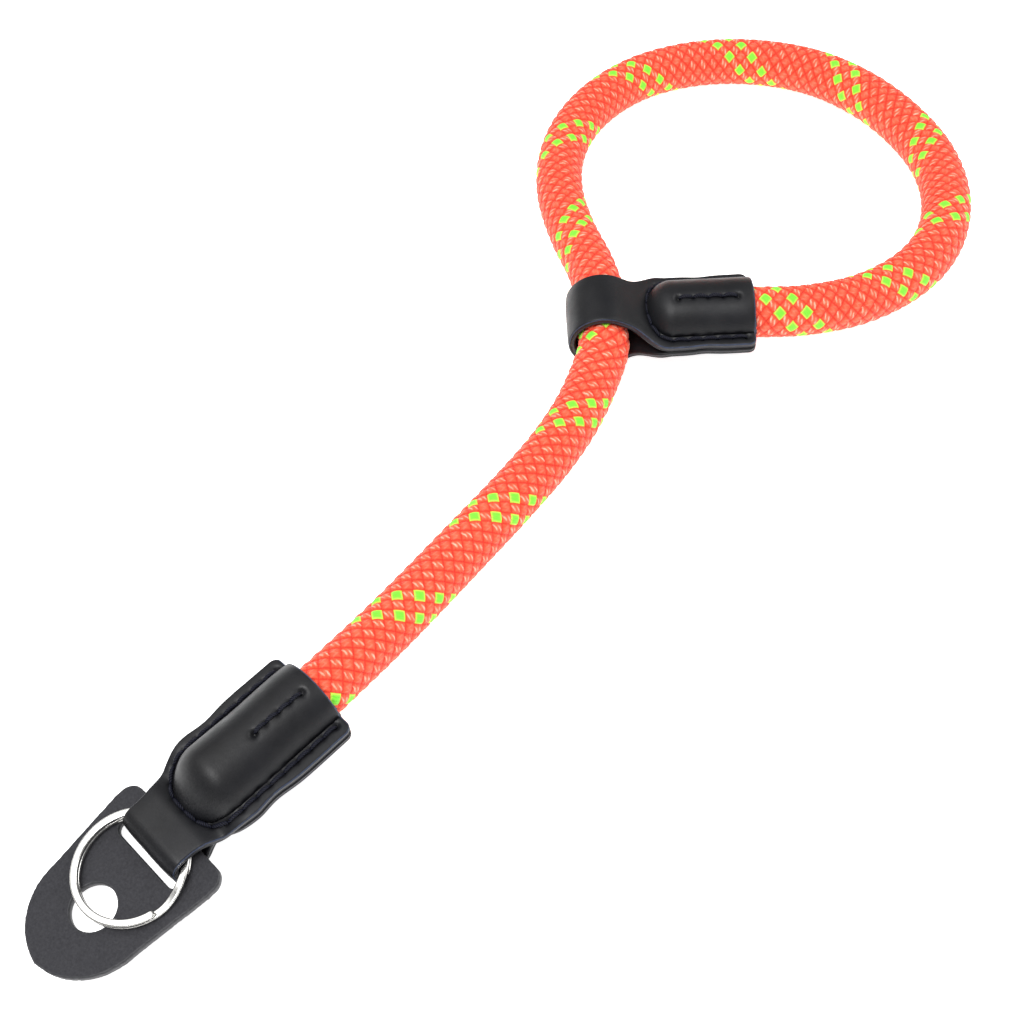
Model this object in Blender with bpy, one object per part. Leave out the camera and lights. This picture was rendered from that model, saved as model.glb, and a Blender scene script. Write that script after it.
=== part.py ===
"""Rope wrist strap with a slip loop, two sewn leather sleeves, a split ring and a protector pad.

Frame: +Z up from the surface that the strap lies on, +Y along the end sleeve towards the rope.
The origin is on the flat underside of the end sleeve, below the rope's axis. Units are metres.
"""

import math

import bmesh
import bpy
from mathutils import Matrix, Vector

MM = 0.001

# Rope: a 10.5 mm kernmantle rope, a braided sheath round seven parallel core strands
ROPE_R = 5.25 * MM
SHEATH_WALL = 1.15 * MM
STRAND_R = 1.2 * MM
STRAND_RING_R = 2.6 * MM
STRAND_COUNT = 7
ROPE_STEP = 9.0 * MM

# Leather strip, shared by both sleeves
LEATHER = 1.6 * MM
ROPE_ROOM = 0.45 * MM
BULGE_R = ROPE_R + ROPE_ROOM + LEATHER / 2
LAYER_GAP = 0.3 * MM
WING_H = (LEATHER + LAYER_GAP) / 2
FOOT_FILLET = 1.8 * MM
FLAT_HALF_ANGLE = math.radians(12)
CORNER_R = 1.6 * MM
AXIS_Z = BULGE_R * math.cos(FLAT_HALF_ANGLE) + LEATHER / 2

# End sleeve, along +Y from its fold to its mouth
MOUTH_Y = 15.5 * MM
DOME_FULL_Y = -6.3 * MM
DOME_FOOT_Y = -12.5 * MM
TUNNEL_Y = -15.5 * MM
FOLD_OUTER_Y = -22.0 * MM
FOLD_R = 2.0 * MM
SLEEVE_HALF = 10.3 * MM
TAB_HALF = 6.9 * MM
TAPER_TOP_Y = -9.0 * MM
TAPER_END_Y = -18.5 * MM

# Protector pad and split ring, held in the sleeve's fold
PAD_T = 1.6 * MM
PAD_HALF = 12.7 * MM
PAD_BACK_Y = -15.6 * MM
PAD_SHOULDER_R = 2.6 * MM
PAD_SHOULDER_Y = -19.5 * MM
PAD_ARCH_Y = -33.7 * MM
PAD_ARCH_R = 12.1 * MM
PAD_ARCH_X = -1.1 * MM
SLOT_FRONT_Y = -23.1 * MM
SLOT_BACK_Y = -19.5 * MM
SLOT_HALF = 8.0 * MM
SLOT_R = 1.5 * MM
HOLE_Y = -33.7 * MM
HOLE_R = 4.0 * MM
RING_Y = -25.3 * MM
RING_OUTER_R = 10.0 * MM
RING_RADIAL = 1.3 * MM
COIL_T = 0.8 * MM
COIL_GAP = 0.2 * MM
RING_H = 2 * COIL_T + COIL_GAP
STACK_GAP = 0.35 * MM
TUNNEL_H = (3 * STACK_GAP + PAD_T + RING_H + LEATHER) / 2
TAB_Z = TUNNEL_H + LEATHER / 2
HINGE = Vector((0, -13.9 * MM, 4.4 * MM))
PAD_TILT = math.radians(3.9)
BAR_Y = -18.0 * MM

# Keeper: its own frame has its origin where its axis crosses the running rope
KEEPER_AT = Vector((-21.5 * MM, 113.0 * MM, 0))
KEEPER_ANGLE = math.radians(45.5)
KEEPER_MOUTH = 30.7 * MM
KEEPER_DOME_FOOT = 8.9 * MM
KEEPER_DOME_FULL = 14.4 * MM
BAND_HALF = 6.3 * MM
KEEPER_HALF = 10.1 * MM
BAND_END = 5.0 * MM
WING_START = 12.5 * MM

# Seams: needle thread on top, bobbin thread below, in slots punched through both layers
THREAD_R = 0.28 * MM
THREAD_LIFT = 0.2 * MM
EDGE_LIFT = 0.4 * MM
STITCH = 2.95 * MM
SEAM_X = 7.9 * MM
SLOT_HALF_LENGTH = 0.75 * MM
SLOT_HALF_WIDTH = 0.45 * MM
DIP_HALF = 0.3 * MM
ROPE_SEAM_X = 1.5 * MM
ROPE_SEAM_STITCHES = 4
GROOVE_DEPTH = 0.8 * MM
SLEEVE_SEAM_START = 13.6 * MM
SLEEVE_SEAM_DEPTH = 6.9 * MM
KEEPER_SEAM_START = 28.8 * MM
KEEPER_SEAM_DEPTH = 5.4 * MM

KEEPER_TO_WORLD = Matrix.Translation(KEEPER_AT) @ Matrix.Rotation(
    KEEPER_ANGLE - math.pi / 2, 4, "Z")


# The rope's centreline: sleeve, stem, through the band, round the loop, into the keeper
ROPE_ROUTE = [
    (0.0, -6.5, 7.16), (0.0, 4.0, 7.16), (0.0, 15.5, 7.16), (-0.5, 22.0, 6.6),
    (-1.4, 31.5, 5.6), (-2.3, 41.6, 5.3), (-3.6, 55.5, 5.3), (-5.0, 69.5, 5.3),
    (-6.8, 82.0, 5.3), (-9.6, 92.8, 5.4), (-13.0, 101.6, 6.3), (-16.15, 107.74, 7.16),
    (-18.65, 110.2, 7.16), (-21.5, 113.0, 7.16), (-24.35, 115.8, 7.16),
    (-26.85, 118.26, 7.16), (-34.2, 123.4, 6.4), (-45.0, 129.4, 5.4),
    (-55.4, 136.6, 5.3), (-63.4, 145.6, 5.3), (-68.5, 156.6, 5.3), (-70.0, 168.4, 5.3),
    (-68.0, 179.6, 5.3), (-61.6, 191.0, 5.3), (-51.6, 200.2, 5.3), (-38.8, 206.2, 5.3),
    (-25.6, 207.4, 5.3), (-12.2, 204.8, 5.3), (0.4, 198.9, 5.3), (10.4, 189.4, 5.3),
    (16.0, 178.0, 5.3), (17.0, 166.6, 5.3), (13.8, 154.6, 5.3), (7.6, 143.6, 6.2),
    (0.02, 134.9, 7.16), (-5.6, 129.2, 7.16), (-11.3, 123.4, 7.16),
]


def clear_scene():
    """Remove whatever the file holds, so that the script starts from nothing."""
    for thing in list(bpy.data.objects):
        bpy.data.objects.remove(thing)


def material(name, colour, roughness, metallic=0.0):
    """A plain Principled material."""
    mat = bpy.data.materials.new(name)
    mat.use_nodes = True
    shader = mat.node_tree.nodes["Principled BSDF"]
    shader.inputs["Base Color"].default_value = (*colour, 1.0)
    shader.inputs["Roughness"].default_value = roughness
    shader.inputs["Metallic"].default_value = metallic
    return mat


def add_object(name, data, mat):
    """Link a named object with its own material."""
    thing = bpy.data.objects.new(name, data)
    bpy.context.collection.objects.link(thing)
    if mat:
        data.materials.append(mat)
    return thing


def mesh_object(name, verts, faces, mat, smooth=True):
    """A mesh object with consistent outward faces, smooth except at its edges."""
    mesh = bpy.data.meshes.new(name)
    mesh.from_pydata([tuple(v) for v in verts], [], faces)
    shell = bmesh.new()
    shell.from_mesh(mesh)
    bmesh.ops.recalc_face_normals(shell, faces=shell.faces)
    shell.to_mesh(mesh)
    shell.free()
    if smooth:
        mesh.shade_smooth()
        mesh.set_sharp_from_angle(angle=math.radians(50))
    return add_object(name, mesh, mat)


def cutter(name, verts, faces):
    """A closed helper that only cuts others."""
    thing = mesh_object(name, verts, faces, None, smooth=False)
    thing.hide_render = True
    thing.display_type = "WIRE"
    return thing


def cut(thing, tool):
    """Subtract a cutter."""
    boolean = thing.modifiers.new("cut", "BOOLEAN")
    boolean.operation = "DIFFERENCE"
    boolean.solver = "EXACT"
    boolean.object = tool


def smooth_curve(points, step):
    """Points about a step apart on a centripetal Catmull-Rom curve through the given points."""
    ends = [2 * points[0] - points[1], *points, 2 * points[-1] - points[-2]]
    dense = [points[0]]
    for p0, p1, p2, p3 in zip(ends, ends[1:], ends[2:], ends[3:]):
        t1 = (p1 - p0).length ** 0.5
        t2 = t1 + (p2 - p1).length ** 0.5
        t3 = t2 + (p3 - p2).length ** 0.5
        for i in range(1, 13):
            t = t1 + (t2 - t1) * i / 12
            a1 = p0.lerp(p1, t / t1)
            a2 = p1.lerp(p2, (t - t1) / (t2 - t1))
            a3 = p2.lerp(p3, (t - t2) / (t3 - t2))
            b1 = a1.lerp(a2, t / t2)
            b2 = a2.lerp(a3, (t - t1) / (t3 - t1))
            dense.append(b1.lerp(b2, (t - t1) / (t2 - t1)))
    lengths = [0.0]
    for a, b in zip(dense, dense[1:]):
        lengths.append(lengths[-1] + (b - a).length)
    count = round(lengths[-1] / step)
    result = []
    k = 0
    for i in range(count + 1):
        target = lengths[-1] * i / count
        while k < len(lengths) - 2 and lengths[k + 1] < target:
            k += 1
        result.append(dense[k].lerp(dense[k + 1], (target - lengths[k]) / (lengths[k + 1] - lengths[k])))
    return result


def tube(name, points, radius, mat, resolution):
    """A capped round tube along points: a curve with a bevel depth."""
    curve = bpy.data.curves.new(name, "CURVE")
    curve.dimensions = "3D"
    curve.bevel_depth = radius
    curve.bevel_resolution = resolution
    curve.use_fill_caps = True
    spline = curve.splines.new("POLY")
    spline.points.add(len(points) - 1)
    for slot, point in zip(spline.points, points):
        slot.co = (*point, 1.0)
    return add_object(name, curve, mat)


def tube_mesh(name, points, radius, mat):
    """The same tube turned into a mesh, for a Boolean."""
    guide = tube(name + "_curve", points, radius, None, 4)
    bpy.context.view_layer.update()
    mesh = bpy.data.meshes.new_from_object(guide.evaluated_get(bpy.context.evaluated_depsgraph_get()))
    bpy.data.objects.remove(guide)
    return add_object(name, mesh, mat)


# Leather: each sleeve is one strip, given as rows of points on its middle surface


def ease(x, low, high):
    """0 before low, 1 after high, a cosine ramp between."""
    t = min(max((x - low) / (high - low), 0.0), 1.0)
    return (1 - math.cos(math.pi * t)) / 2


def bulge_height(x, radius):
    """Height over the seam plane of a layer drawn over a round end, with a fillet at its foot."""
    if radius <= WING_H:
        return WING_H
    foot = math.sqrt((radius + FOOT_FILLET) ** 2 - (WING_H + FOOT_FILLET) ** 2)
    x = abs(x)
    touch = foot * radius / (radius + FOOT_FILLET)
    if x >= foot:
        return WING_H
    if x > touch:
        return WING_H + FOOT_FILLET - math.sqrt(FOOT_FILLET ** 2 - (foot - x) ** 2)
    return math.sqrt(radius ** 2 - x ** 2)


def section_columns():
    """Places across a sleeve: round the rope, down the foot and out to the edge, as shares."""
    foot = math.sqrt((BULGE_R + FOOT_FILLET) ** 2 - (WING_H + FOOT_FILLET) ** 2)
    touch = foot * BULGE_R / (BULGE_R + FOOT_FILLET)
    last = math.asin(touch / BULGE_R)
    angles = [FLAT_HALF_ANGLE + (last - FLAT_HALF_ANGLE) * i / 3 for i in range(4)]
    half = [BULGE_R * math.sin(a) for a in angles]
    half += [touch + (foot - touch) * 0.55, foot, SLEEVE_HALF]
    half = [x / SLEEVE_HALF for x in half]
    return [-x for x in reversed(half)] + half


def strip_row(place, z_axis, base, radius, side, half_width, to_world):
    """One row across a strip: base is the signed height where nothing bulges."""
    row = []
    for share in section_columns():
        x = share * half_width
        height = max(abs(base), bulge_height(x, radius)) * side if side else base
        row.append(to_world @ Vector((x, place, z_axis + height)))
    return row


def corner(half_width, inset):
    """Half width near the mouth, where the corners are rounded."""
    if inset >= CORNER_R:
        return half_width
    return half_width - CORNER_R + math.sqrt(CORNER_R ** 2 - (CORNER_R - inset) ** 2)


def leather_strip(name, rows, mat, slots):
    """A strip through rows of points, thickened evenly, with slots punched through it."""
    verts = [point for row in rows for point in row]
    width = len(rows[0])
    faces = []
    for r in range(len(rows) - 1):
        for c in range(width - 1):
            a = r * width + c
            faces.append((a, a + 1, a + width + 1, a + width))
    strip = mesh_object(name, verts, faces, mat)
    solid = strip.modifiers.new("thickness", "SOLIDIFY")
    solid.thickness = LEATHER
    solid.offset = 0
    solid.use_even_offset = True
    solid.use_quality_normals = True
    cut(strip, slot_cutter(name + "_punch", slots))
    return strip


def slot_cutter(name, slots, half_length=SLOT_HALF_LENGTH):
    """Upright four-sided prisms, one for each (centre, direction, bottom, top)."""
    verts = []
    faces = []
    for centre, direction, low, high in slots:
        along = direction.normalized() * half_length
        across = Vector((-along.y, along.x, 0)).normalized() * SLOT_HALF_WIDTH
        first = len(verts)
        for z in (low, high):
            for a, b in ((-1, -1), (1, -1), (1, 1), (-1, 1)):
                spot = centre + along * a + across * b
                verts.append((spot.x, spot.y, z))
        faces += [tuple(first + i for i in quad) for quad in (
            (3, 2, 1, 0), (4, 5, 6, 7), (0, 1, 5, 4), (1, 2, 6, 5), (2, 3, 7, 6), (3, 0, 4, 7))]
    return cutter(name, verts, faces)


def sleeve_half_width(y):
    """The end sleeve's outline: parallel wings, then a taper to the tab."""
    half = SLEEVE_HALF + (TAB_HALF - SLEEVE_HALF) * ease(-y, -TAPER_TOP_Y, -TAPER_END_Y)
    return corner(half, MOUTH_Y - y)


def sleeve_axis_z(y):
    """Height of the seam plane: it climbs from the tab to the rope's axis."""
    return TAB_Z + (AXIS_Z - TAB_Z) * ease(y, TUNNEL_Y, DOME_FULL_Y)


def sleeve_radius(y):
    """Radius of the bulge over the rope's end."""
    return WING_H + (BULGE_R - WING_H) * ease(y, DOME_FOOT_Y, DOME_FULL_Y)


def sleeve_base(y):
    """Half height of the tunnel that holds the ring and the pad's bar."""
    return TUNNEL_H + (WING_H - TUNNEL_H) * ease(y, TUNNEL_Y, DOME_FOOT_Y)


def sleeve_rows():
    """Rows from the upper mouth edge, round the fold, to the lower mouth edge."""
    places = [MOUTH_Y, MOUTH_Y - 0.3 * CORNER_R, MOUTH_Y - CORNER_R, 4 * MM]
    places += [DOME_FULL_Y + (DOME_FOOT_Y - DOME_FULL_Y) * i / 5 for i in range(6)]
    places += [DOME_FOOT_Y + (TUNNEL_Y - DOME_FOOT_Y) * i / 4 for i in range(1, 5)]
    places.append(-17.4 * MM)
    here = Matrix.Identity(4)

    def layer(y, side):
        return strip_row(y, sleeve_axis_z(y), sleeve_base(y), sleeve_radius(y), side,
                         sleeve_half_width(y), here)

    rows = [layer(y, 1) for y in places]
    front = FOLD_OUTER_Y + LEATHER / 2 + FOLD_R
    straight = TUNNEL_H - FOLD_R
    for centre_z, start in ((straight, 0), (-straight, 90)):
        for step in range(4):
            angle = math.radians(start + 30 * step)
            y = front - FOLD_R * math.sin(angle)
            z = centre_z + FOLD_R * math.cos(angle)
            rows.append(strip_row(y, TAB_Z, z, 0, 0, TAB_HALF, here))
    return rows + [layer(y, -1) for y in reversed(places)]


def keeper_half_width(y):
    """The keeper's outline: a narrow band that widens to the wings."""
    half = BAND_HALF + (KEEPER_HALF - BAND_HALF) * ease(y, BAND_END, WING_START)
    return corner(half, KEEPER_MOUTH - y)


def keeper_radius(y):
    """Radius of the keeper's bulge over the rope's end."""
    return WING_H + (BULGE_R - WING_H) * ease(y, KEEPER_DOME_FOOT, KEEPER_DOME_FULL)


def keeper_rows():
    """Rows from the upper mouth edge, round the running rope, to the lower mouth edge."""
    places = [KEEPER_MOUTH, KEEPER_MOUTH - 0.3 * CORNER_R, KEEPER_MOUTH - CORNER_R, 22 * MM]
    steps = 5
    places += [KEEPER_DOME_FULL + (KEEPER_DOME_FOOT - KEEPER_DOME_FULL) * i / steps
               for i in range(steps + 1)]
    foot = math.sqrt((BULGE_R + FOOT_FILLET) ** 2 - (WING_H + FOOT_FILLET) ** 2)
    lean = math.asin(foot / (BULGE_R + FOOT_FILLET))
    places.append(foot)
    places.append(foot - FOOT_FILLET * math.sin(lean / 2))

    def band_height(y):
        return bulge_height(y, BULGE_R) if y < KEEPER_DOME_FOOT else WING_H

    def layer(y, side):
        return strip_row(y, AXIS_Z, band_height(y), keeper_radius(y), side,
                         keeper_half_width(y), KEEPER_TO_WORLD)

    rows = [layer(y, 1) for y in places]
    rest = 2 * math.pi + FLAT_HALF_ANGLE
    angles = [math.pi - lean + lean * i / 3 for i in range(3)]
    angles += [math.pi + 2 * FLAT_HALF_ANGLE * i for i in range(8)]
    angles += [rest + (lean - FLAT_HALF_ANGLE) * i / 3 for i in range(4)]
    for angle in angles:
        y = BULGE_R * math.sin(angle)
        z = -BULGE_R * math.cos(angle)
        rows.append(strip_row(y, AXIS_Z, z, 0, 0, keeper_half_width(y), KEEPER_TO_WORLD))
    return rows + [layer(y, -1) for y in reversed(places)]


# Seams


def seam_line(start, turn, depth):
    """Hole places along a U seam: down one wing, round the end, up the other."""
    dense = [(SEAM_X, start + (turn - start) * i / 40) for i in range(40)]
    for i in range(81):
        angle = math.pi * i / 80
        dense.append((SEAM_X * math.cos(angle), turn - depth * math.sin(angle)))
    dense += [(-SEAM_X, turn + (start - turn) * i / 40) for i in range(1, 41)]
    lengths = [0.0]
    for a, b in zip(dense, dense[1:]):
        lengths.append(lengths[-1] + math.dist(a, b))
    total = lengths[-1]
    stitches = round(total / STITCH)

    def at(distance):
        distance = min(max(distance, 0.0), total)
        k = max(i for i, length in enumerate(lengths[:-1]) if length <= distance)
        share = (distance - lengths[k]) / (lengths[k + 1] - lengths[k])
        return Vector((dense[k][0] + (dense[k + 1][0] - dense[k][0]) * share,
                       dense[k][1] + (dense[k + 1][1] - dense[k][1]) * share, 0))

    return at, [total * i / stitches for i in range(stitches + 1)]


def rope_seam_line(start, pitch):
    """Hole places along the short straight seam over the rope."""
    return (lambda distance: Vector((ROPE_SEAM_X, start - distance, 0)),
            [pitch * i for i in range(ROPE_SEAM_STITCHES + 1)])


def on_surface(middle, spot, side, lift):
    """A point straight above (or below) a spot, so far off the leather's middle surface."""
    d = 0.1 * MM
    slope_x = (middle(spot.x + d, spot.y, side) - middle(spot.x - d, spot.y, side)) / (2 * d)
    slope_y = (middle(spot.x, spot.y + d, side) - middle(spot.x, spot.y - d, side)) / (2 * d)
    steepness = math.sqrt(1 + slope_x ** 2 + slope_y ** 2)
    return Vector((spot.x, spot.y, middle(spot.x, spot.y, side) + side * lift * steepness))


def thread_points(line, middle, side, low, lift):
    """One thread of a lockstitch: a dash between holes, and a dip into each of them."""
    at, holes = line
    points = []
    for first, second in zip(holes, holes[1:]):
        for distance, dips_before in ((first + DIP_HALF, True), (second - DIP_HALF, False)):
            spot = at(distance)
            upper = on_surface(middle, spot, side, lift)
            lower = Vector((spot.x, spot.y, low(spot)))
            points += [lower, upper] if dips_before else [upper, lower]
    return points


def seam_slots(line, reach):
    """Slots through the leather under each hole of a seam; reach gives (bottom, top) there."""
    at, holes = line
    slots = []
    for distance in holes:
        spot = at(distance)
        direction = at(distance + 0.2 * MM) - at(distance - 0.2 * MM)
        slots.append((spot, direction, *reach(spot)))
    return slots


def sew(prefix, line, middle, lows, lifts, to_world, mat):
    """The needle thread above and the bobbin thread below."""
    for suffix, side, low, rise in (("needle_thread", 1, lows[0], lifts[0]),
                                    ("bobbin_thread", -1, lows[1], lifts[1])):
        points = thread_points(line, middle, side, low, rise)
        tube(prefix + "_" + suffix, [to_world @ point for point in points], THREAD_R, mat(), 0)


def sleeve_middle(x, y, side):
    """Middle surface of the end sleeve's upper or lower layer."""
    return sleeve_axis_z(y) + side * max(sleeve_base(y), bulge_height(x, sleeve_radius(y)))


def keeper_middle(x, y, side):
    """Middle surface of the keeper's upper or lower layer, past its band."""
    return AXIS_Z + side * bulge_height(x, keeper_radius(y))


def turned_slots(slots, to_world):
    """Slots moved from a sleeve's own frame into the world."""
    spin = to_world.to_3x3()
    return [(to_world @ centre, spin @ direction, low, high)
            for centre, direction, low, high in slots]


def sewn_sleeve(name, rows, middle, axis_z, edge_line, rope_line, to_world, leather, thread):
    """A folded strip with its two seams."""
    apart = LAYER_GAP / 2 + THREAD_R
    dip = ROPE_R + THREAD_LIFT + THREAD_R
    edge_lift = LEATHER / 2 + EDGE_LIFT + THREAD_R
    top_lift = LEATHER / 2 + THREAD_LIFT + THREAD_R
    groove_lift = LEATHER / 2 - THREAD_LIFT - THREAD_R
    slots = seam_slots(edge_line, lambda spot: (axis_z(spot.y) - 4 * MM, axis_z(spot.y) + 4 * MM))
    slots += seam_slots(rope_line, lambda spot: (AXIS_Z + 3 * MM, AXIS_Z + 9 * MM))
    slots += seam_slots(rope_line, lambda spot: (GROOVE_DEPTH / 2, AXIS_Z - 3 * MM))
    at, holes = rope_line
    middle_hole = at(holes[-1] / 2)
    groove = (middle_hole, at(holes[-1]) - at(0), -1 * MM, GROOVE_DEPTH)
    strip = leather_strip(name, rows, leather(), turned_slots(slots, to_world))
    cut(strip, slot_cutter(name + "_groove", turned_slots([groove], to_world),
                           holes[-1] / 2 + SLOT_HALF_LENGTH))
    sew(name + "_edge", edge_line, middle,
        (lambda spot: axis_z(spot.y) + apart, lambda spot: axis_z(spot.y) - apart),
        (edge_lift, edge_lift), to_world, thread)
    sew(name + "_rope", rope_line, middle,
        (lambda spot: AXIS_Z + dip, lambda spot: AXIS_Z - dip), (top_lift, groove_lift),
        to_world, thread)


# Pad and ring, tilted together about the tab's hinge


def tilted_place(point):
    """A place in the hinge's own frame, for a point of the pad and ring drawn level."""
    pivot = Vector((0, BAR_Y, LEATHER + STACK_GAP + PAD_T / 2))
    tilt = Matrix.Rotation(PAD_TILT, 3, "X")
    return tilt.inverted() @ (pivot - HINGE) + point - pivot


def arc(centre_x, centre_y, radius, start, end, steps):
    """Points along an arc, angles in degrees."""
    return [(centre_x + radius * math.cos(math.radians(start + (end - start) * i / steps)),
             centre_y + radius * math.sin(math.radians(start + (end - start) * i / steps)))
            for i in range(steps + 1)]


def mirrored(half):
    """A closed outline from its +X half, which runs from the lowest point to the highest."""
    return half + [(-x, y) for x, y in reversed(half) if x > 1e-9]


def prism(outline, low, high, place):
    """Corners and faces of an upright prism."""
    count = len(outline)
    verts = [place(Vector((x, y, z))) for z in (low, high) for x, y in outline]
    faces = [tuple(reversed(range(count))), tuple(range(count, 2 * count))]
    for i in range(count):
        j = (i + 1) % count
        faces.append((i, j, count + j, count + i))
    return verts, faces


def pad_outline():
    """Shield with a blunt pointed tip, nearly straight sides and rounded shoulders."""
    reach = math.degrees(math.acos(-PAD_ARCH_X / PAD_ARCH_R))
    half = arc(PAD_ARCH_X, PAD_ARCH_Y, PAD_ARCH_R, -reach, 0, 9)
    half.append((PAD_HALF, PAD_SHOULDER_Y))
    half += arc(PAD_HALF - PAD_SHOULDER_R, PAD_BACK_Y - PAD_SHOULDER_R, PAD_SHOULDER_R, 8, 90, 4)
    return mirrored(half)


def slot_outline():
    """The pad's slot, rounded at its corners."""
    half = [(SLOT_HALF - SLOT_R, SLOT_FRONT_Y)]
    half += arc(SLOT_HALF - SLOT_R, SLOT_FRONT_Y + SLOT_R, SLOT_R, -90, 0, 4)[1:]
    half += arc(SLOT_HALF - SLOT_R, SLOT_BACK_Y - SLOT_R, SLOT_R, 0, 90, 4)
    return half + [(-x, y) for x, y in reversed(half)]


def protector_pad(hinge, mat):
    """The leather pad between the ring and whatever the strap hangs from."""
    low = LEATHER + STACK_GAP
    pad = mesh_object("protector_pad", *prism(pad_outline(), low, low + PAD_T, tilted_place), mat)
    pad.parent = hinge
    for name, outline in (("pad_slot", slot_outline()),
                          ("pad_hole", arc(0, HOLE_Y, HOLE_R, 0, 345, 23))):
        tool = cutter(name, *prism(outline, low - PAD_T, low + 2 * PAD_T, tilted_place))
        tool.parent = hinge
        cut(pad, tool)


def split_ring(hinge, mat):
    """Two turns of flat wire, stepping up from the lower turn to the upper one."""
    ramp = math.radians(20)
    start = ramp + math.radians(4)
    end = 4 * math.pi - start
    chamfer = 0.25 * MM
    half = RING_RADIAL / 2
    section = [(-half, -COIL_T / 2 + chamfer), (-half + chamfer, -COIL_T / 2),
               (half - chamfer, -COIL_T / 2), (half, -COIL_T / 2 + chamfer),
               (half, COIL_T / 2 - chamfer), (half - chamfer, COIL_T / 2),
               (-half + chamfer, COIL_T / 2), (-half, COIL_T / 2 - chamfer)]
    steps = 68
    level = (COIL_T + COIL_GAP) / 2
    verts = []
    for i in range(steps + 1):
        angle = start + (end - start) * i / steps
        lift = level * (2 * ease(angle, 2 * math.pi - ramp, 2 * math.pi + ramp) - 1)
        for across, up in section:
            radius = RING_OUTER_R - RING_RADIAL / 2 + across
            verts.append((radius * math.cos(angle), radius * math.sin(angle), lift + up))
    count = len(section)
    faces = [tuple(range(count)), tuple(reversed(range(steps * count, (steps + 1) * count)))]
    for i in range(steps):
        for j in range(count):
            k = (j + 1) % count
            faces.append((i * count + k, i * count + j, (i + 1) * count + j, (i + 1) * count + k))
    ring = mesh_object("split_ring", verts, faces, mat)
    ring.parent = hinge
    ring.location = tilted_place(Vector((0, RING_Y, LEATHER + 2 * STACK_GAP + PAD_T + RING_H / 2)))


# Rope


def rope(sheath_mat, strand_mat):
    """The braided sheath as a hollow tube, and the parallel strands of its core."""
    route = smooth_curve([Vector(p) * MM for p in ROPE_ROUTE], ROPE_STEP)
    sheath = tube_mesh("rope_sheath", route, ROPE_R, sheath_mat)
    past = 2 * MM
    longer = [route[0] + (route[0] - route[1]).normalized() * past, *route[1:-1],
              route[-1] + (route[-1] - route[-2]).normalized() * past]
    bore = tube_mesh("sheath_bore", longer, ROPE_R - SHEATH_WALL, None)
    bore.hide_render = True
    bore.display_type = "WIRE"
    cut(sheath, bore)
    tangents = [(b - a).normalized() for a, b in zip([route[0], *route[:-1]], [*route[1:], route[-1]])]
    for k in range(STRAND_COUNT):
        angle = math.tau * (k - 1) / (STRAND_COUNT - 1)
        reach = STRAND_RING_R if k else 0.0
        points = []
        for point, tangent in zip(route, tangents):
            aside = tangent.cross(Vector((0, 0, 1))).normalized()
            above = aside.cross(tangent)
            points.append(point + (aside * math.cos(angle) + above * math.sin(angle)) * reach)
        tube("rope_core_strand_" + str(k + 1), points, STRAND_R, strand_mat(), 1)


def main():
    """Build every piece."""
    clear_scene()

    def leather():
        return material("leather", (0.02, 0.02, 0.022), 0.5)

    def thread():
        return material("thread", (0.012, 0.014, 0.03), 0.7)

    def strand():
        return material("core", (0.85, 0.84, 0.8), 0.8)

    hinge = bpy.data.objects.new("tab_hinge", None)
    bpy.context.collection.objects.link(hinge)
    hinge.location = HINGE
    hinge.rotation_euler = (PAD_TILT, 0, 0)

    level = Matrix.Identity(4)
    sewn_sleeve("end_sleeve", sleeve_rows(), sleeve_middle, sleeve_axis_z,
                seam_line(SLEEVE_SEAM_START, DOME_FULL_Y, SLEEVE_SEAM_DEPTH),
                rope_seam_line(12.6 * MM, 2.6 * MM), level, leather, thread)
    sewn_sleeve("keeper", keeper_rows(), keeper_middle, lambda y: AXIS_Z,
                seam_line(KEEPER_SEAM_START, KEEPER_DOME_FULL, KEEPER_SEAM_DEPTH),
                rope_seam_line(27.3 * MM, 3.0 * MM), KEEPER_TO_WORLD, leather, thread)
    protector_pad(hinge, material("pad_leather", (0.06, 0.06, 0.065), 0.85))
    split_ring(hinge, material("nickel", (0.8, 0.8, 0.78), 0.18, 1.0))
    rope(material("sheath", (0.9, 0.12, 0.04), 0.75), strand)


main()
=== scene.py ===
"""Looks for the rope hand strap: braided rope, sewn leather, split ring and pad."""
import math

import bpy
import numpy as np
from mathutils import Matrix, Vector
from mathutils.geometry import delaunay_2d_cdt


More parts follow.
